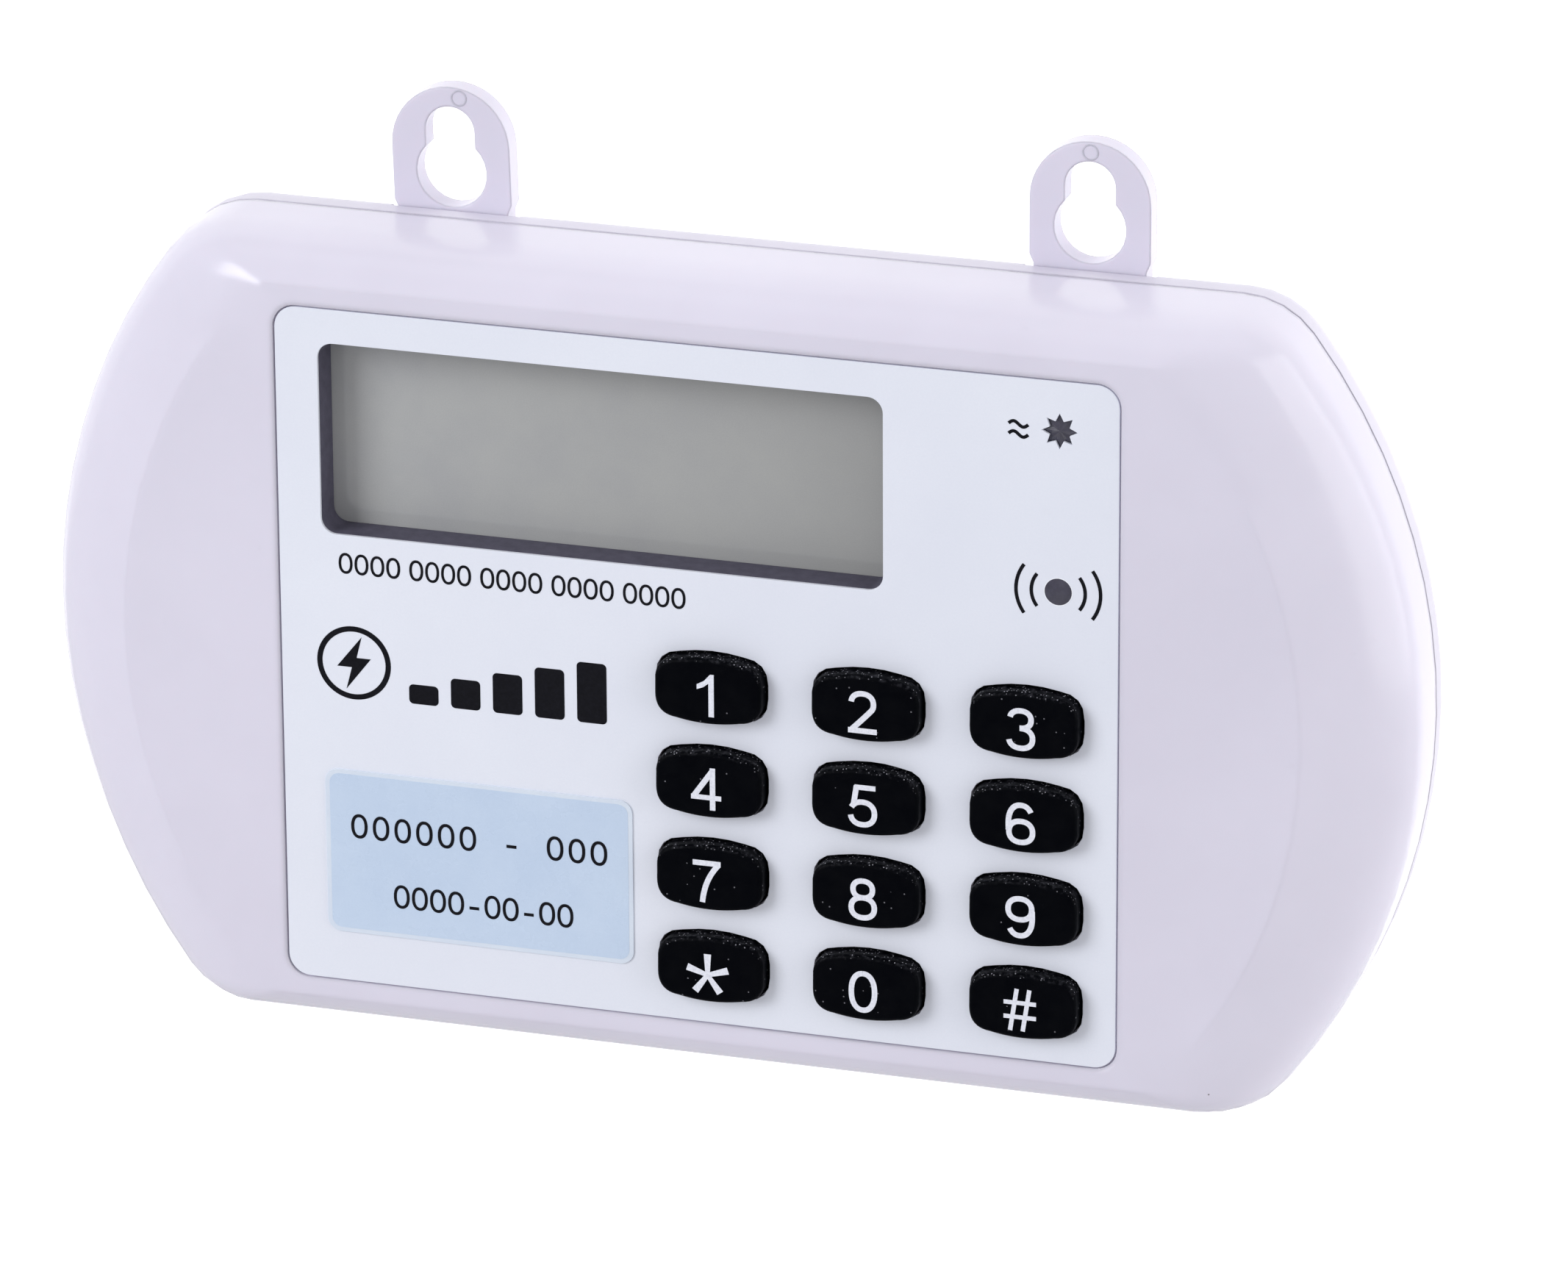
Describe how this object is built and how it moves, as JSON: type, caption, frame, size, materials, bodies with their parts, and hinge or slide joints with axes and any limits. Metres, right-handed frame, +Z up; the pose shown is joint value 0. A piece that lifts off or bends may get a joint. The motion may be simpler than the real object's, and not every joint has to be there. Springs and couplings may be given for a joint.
{
  "type": "prepaid electricity meter keypad unit",
  "caption": "Wall-hung prepaid meter unit with a bowed case, display window, numeric keypad, indicator lights, battery bay and sliding keyhole lugs.",
  "frame": {"origin": "centre of the flat rear face that lies against the wall", "axes": "+Y out of the rear face into the wall, +X to the right as seen from the front, +Z up"},
  "size_m": [0.151, 0.0222, 0.1025],
  "materials": {
    "case": "glossy lavender-white moulded ABS, handled and slightly dusty",
    "panel": "satin pearl-white printed membrane",
    "blue_label": "pale blue self-adhesive label under a clear film",
    "gasket_foam": "dark grey closed-cell foam",
    "display": "grey-green reflective liquid-crystal glass, unlit",
    "contact_rubber": "layered conductive elastomer strip",
    "mat_rubber": "black silicone sheet",
    "lens": "smoke-tinted clear window",
    "lamp": "diffused epoxy",
    "key": "matt black silicone rubber with white printed legend, dusty edges",
    "board": "green solder mask on glass fibre board",
    "chip_resin": "matt black moulding compound",
    "plated_steel": "bright plated steel",
    "aerial_wire": "bare copper wire",
    "capacitor_sleeve": "dark shrink sleeve",
    "battery_jacket": "plain blue battery jacket",
    "contact_metal": "nickel-plated spring steel",
    "paper_label": null
  },
  "bodies": {
    "case": {"front_cover": "case", "rear_cover": "case", "panel_overlay": "panel", "information_label": "blue_label", "display_gasket": "gasket_foam", "display_glass": "display", "contact_strip_upper": "contact_rubber", "contact_strip_lower": "contact_rubber", "keypad_mat": "mat_rubber", "signal_lens": "lens", "supply_lens": "lens", "signal_lamp": "lamp", "supply_lamp": "lamp", "circuit_board": "board", "microcontroller": "chip_resin", "crystal": "plated_steel", "radio_module": "plated_steel", "aerial": "aerial_wire", "buzzer": "chip_resin", "capacitor": "capacitor_sleeve", "board_screw_1": "plated_steel", "board_screw_2": "plated_steel", "board_screw_3": "plated_steel", "board_screw_4": "plated_steel", "case_screw_1": "plated_steel", "case_screw_2": "plated_steel", "case_screw_3": "plated_steel", "case_screw_4": "plated_steel", "battery_upper": "battery_jacket", "battery_lower": "battery_jacket", "battery_bridge_contact": "contact_metal", "battery_positive_contact": "contact_metal", "battery_negative_contact": "contact_metal", "rating_label": "paper_label"},
    "key_1": {"key_1": "key"},
    "key_2": {"key_2": "key"},
    "key_3": {"key_3": "key"},
    "key_4": {"key_4": "key"},
    "key_5": {"key_5": "key"},
    "key_6": {"key_6": "key"},
    "key_7": {"key_7": "key"},
    "key_8": {"key_8": "key"},
    "key_9": {"key_9": "key"},
    "key_star": {"key_star": "key"},
    "key_0": {"key_0": "key"},
    "key_hash": {"key_hash": "key"},
    "battery_door": {"battery_door": "case"},
    "hanging_lug_left": {"hanging_lug_left": "case"},
    "hanging_lug_right": {"hanging_lug_right": "case"}
  },
  "joints": [
    {"name": "key_1_press", "type": "slide", "parent": "case", "child": "key_1", "axis": [0, 1, 0], "range_m": [0, 0.0012], "stiffness_N_per_m": 900},
    {"name": "key_2_press", "type": "slide", "parent": "case", "child": "key_2", "axis": [0, 1, 0], "range_m": [0, 0.0012], "stiffness_N_per_m": 900},
    {"name": "key_3_press", "type": "slide", "parent": "case", "child": "key_3", "axis": [0, 1, 0], "range_m": [0, 0.0012], "stiffness_N_per_m": 900},
    {"name": "key_4_press", "type": "slide", "parent": "case", "child": "key_4", "axis": [0, 1, 0], "range_m": [0, 0.0012], "stiffness_N_per_m": 900},
    {"name": "key_5_press", "type": "slide", "parent": "case", "child": "key_5", "axis": [0, 1, 0], "range_m": [0, 0.0012], "stiffness_N_per_m": 900},
    {"name": "key_6_press", "type": "slide", "parent": "case", "child": "key_6", "axis": [0, 1, 0], "range_m": [0, 0.0012], "stiffness_N_per_m": 900},
    {"name": "key_7_press", "type": "slide", "parent": "case", "child": "key_7", "axis": [0, 1, 0], "range_m": [0, 0.0012], "stiffness_N_per_m": 900},
    {"name": "key_8_press", "type": "slide", "parent": "case", "child": "key_8", "axis": [0, 1, 0], "range_m": [0, 0.0012], "stiffness_N_per_m": 900},
    {"name": "key_9_press", "type": "slide", "parent": "case", "child": "key_9", "axis": [0, 1, 0], "range_m": [0, 0.0012], "stiffness_N_per_m": 900},
    {"name": "key_star_press", "type": "slide", "parent": "case", "child": "key_star", "axis": [0, 1, 0], "range_m": [0, 0.0012], "stiffness_N_per_m": 900},
    {"name": "key_0_press", "type": "slide", "parent": "case", "child": "key_0", "axis": [0, 1, 0], "range_m": [0, 0.0012], "stiffness_N_per_m": 900},
    {"name": "key_hash_press", "type": "slide", "parent": "case", "child": "key_hash", "axis": [0, 1, 0], "range_m": [0, 0.0012], "stiffness_N_per_m": 900},
    {"name": "battery_door_tilt", "type": "hinge", "parent": "case", "child": "battery_door", "pos_m": [-0.0332, 0, -0.0317], "axis": [-1, 0, 0], "range_deg": [0, 70]},
    {"name": "left_lug_slide", "type": "slide", "parent": "case", "child": "hanging_lug_left", "axis": [0, 0, 1], "range_m": [-0.012, 0]},
    {"name": "right_lug_slide", "type": "slide", "parent": "case", "child": "hanging_lug_right", "axis": [0, 0, 1], "range_m": [-0.012, 0]}
  ]
}
